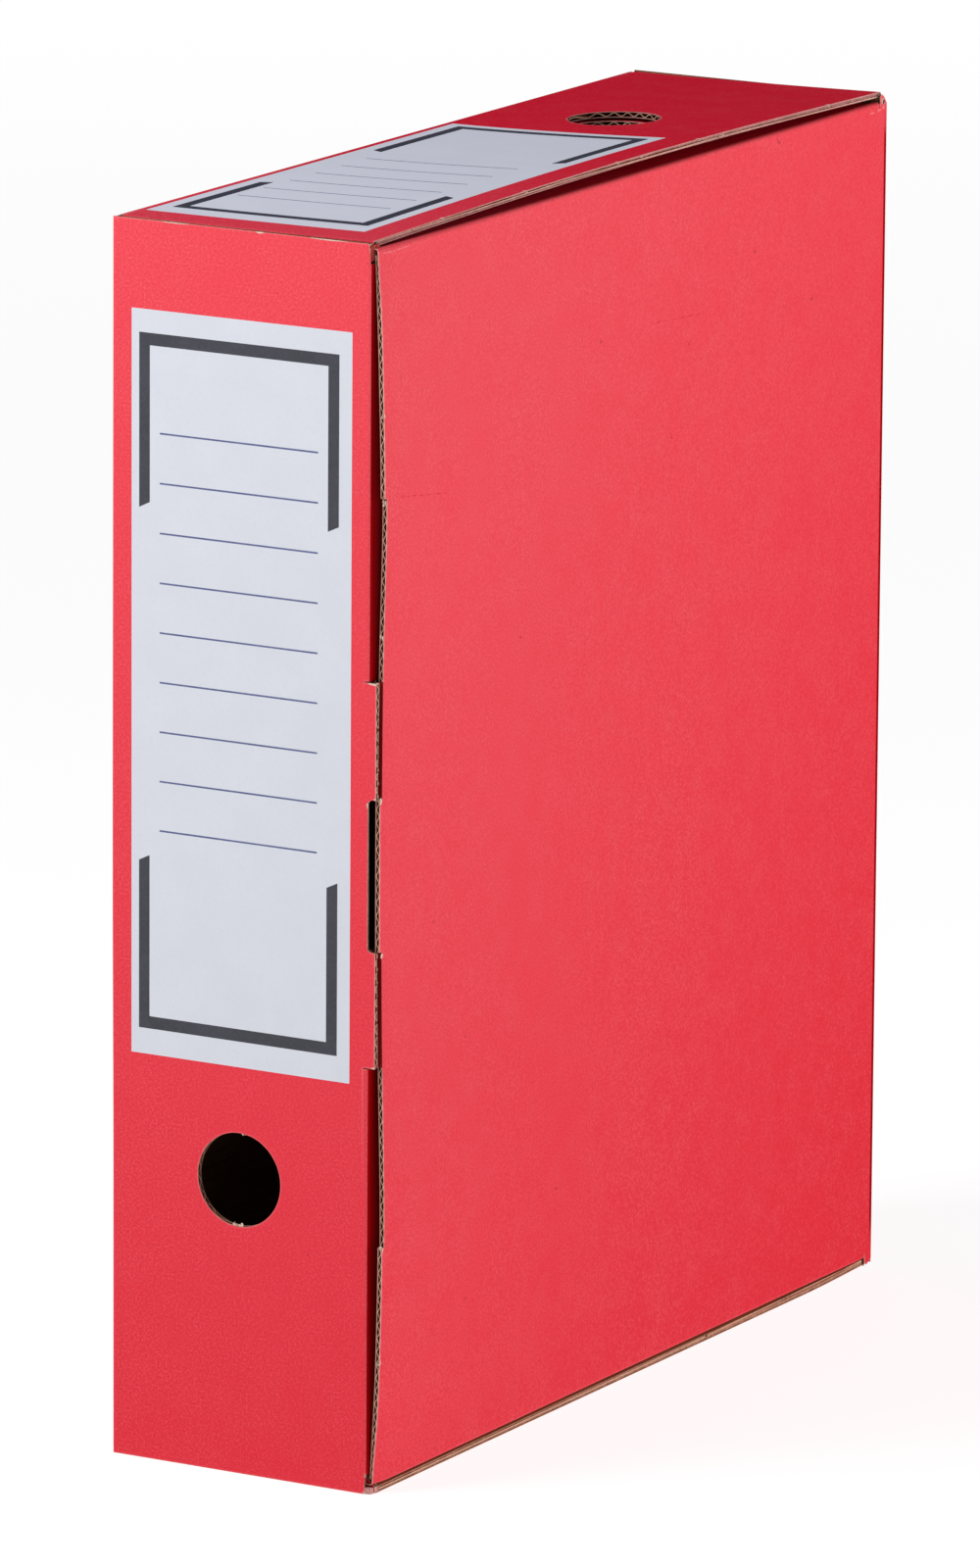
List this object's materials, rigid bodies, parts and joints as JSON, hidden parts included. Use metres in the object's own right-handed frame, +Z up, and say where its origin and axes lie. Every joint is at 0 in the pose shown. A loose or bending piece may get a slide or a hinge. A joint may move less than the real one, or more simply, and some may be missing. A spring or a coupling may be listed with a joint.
{
  "type": "archive box",
  "caption": "Upright archive box folded from red-printed corrugated board, with a hinged side lid, tuck flaps, lock tabs and thumb holes; holds and files A4 papers on a shelf.",
  "frame": {"origin": "centre of the closed box's footprint, on the face it stands on", "axes": "+Z up along the tall side, +X towards the lid across the narrow width, -Y towards the narrow front with the label field"},
  "size_m": [0.076, 0.26, 0.315],
  "materials": {
    "printed_liner": "matt printed liner",
    "kraft_liner": "raw kraft liner",
    "fluting": "raw kraft fluting"
  },
  "bodies": {
    "tray": {"left_panel_outer_liner": "printed_liner", "left_panel_fluting": "fluting", "left_panel_inner_liner": "kraft_liner", "front_panel_outer_liner": "printed_liner", "front_panel_fluting": "fluting", "front_panel_inner_liner": "kraft_liner", "back_panel_outer_liner": "printed_liner", "back_panel_fluting": "fluting", "back_panel_inner_liner": "kraft_liner", "top_panel_outer_liner": "printed_liner", "top_panel_fluting": "fluting", "top_panel_inner_liner": "kraft_liner", "top_front_flap_outer_liner": "printed_liner", "top_front_flap_fluting": "fluting", "top_front_flap_inner_liner": "kraft_liner", "top_back_flap_outer_liner": "printed_liner", "top_back_flap_fluting": "fluting", "top_back_flap_inner_liner": "kraft_liner", "bottom_panel_outer_liner": "printed_liner", "bottom_panel_fluting": "fluting", "bottom_panel_inner_liner": "kraft_liner", "bottom_front_flap_outer_liner": "printed_liner", "bottom_front_flap_fluting": "fluting", "bottom_front_flap_inner_liner": "kraft_liner", "bottom_back_flap_outer_liner": "printed_liner", "bottom_back_flap_fluting": "fluting", "bottom_back_flap_inner_liner": "kraft_liner"},
    "lid": {"lid_outer_liner": "printed_liner", "lid_fluting": "fluting", "lid_inner_liner": "kraft_liner"},
    "lid_top_flap": {"lid_top_flap_outer_liner": "printed_liner", "lid_top_flap_fluting": "fluting", "lid_top_flap_inner_liner": "kraft_liner"},
    "lid_bottom_flap": {"lid_bottom_flap_outer_liner": "printed_liner", "lid_bottom_flap_fluting": "fluting", "lid_bottom_flap_inner_liner": "kraft_liner"},
    "front_flap": {"front_flap_outer_liner": "printed_liner", "front_flap_fluting": "fluting", "front_flap_inner_liner": "kraft_liner"}
  },
  "joints": [
    {"name": "lid_crease", "type": "hinge", "parent": "tray", "child": "lid", "pos_m": [0.03777, 0.12977, 0.1575], "axis": [0, 0, 1], "range_deg": [0, 180]},
    {"name": "lid_top_flap_crease", "type": "hinge", "parent": "lid", "child": "lid_top_flap", "pos_m": [0.0364, 0, 0.31303], "axis": [0, -1, 0], "range_deg": [0, 60]},
    {"name": "lid_bottom_flap_crease", "type": "hinge", "parent": "lid", "child": "lid_bottom_flap", "pos_m": [0.0364, 0, 0.00197], "axis": [0, 1, 0], "range_deg": [0, 60]},
    {"name": "front_flap_crease", "type": "hinge", "parent": "tray", "child": "front_flap", "pos_m": [0.03602, -0.12977, 0.1575], "axis": [0, 0, -1], "range_deg": [0, 90]}
  ],
  "couplings": [
    {"joint": "front_flap_crease", "follows": "lid_crease", "ratio": 0.5}
  ]
}
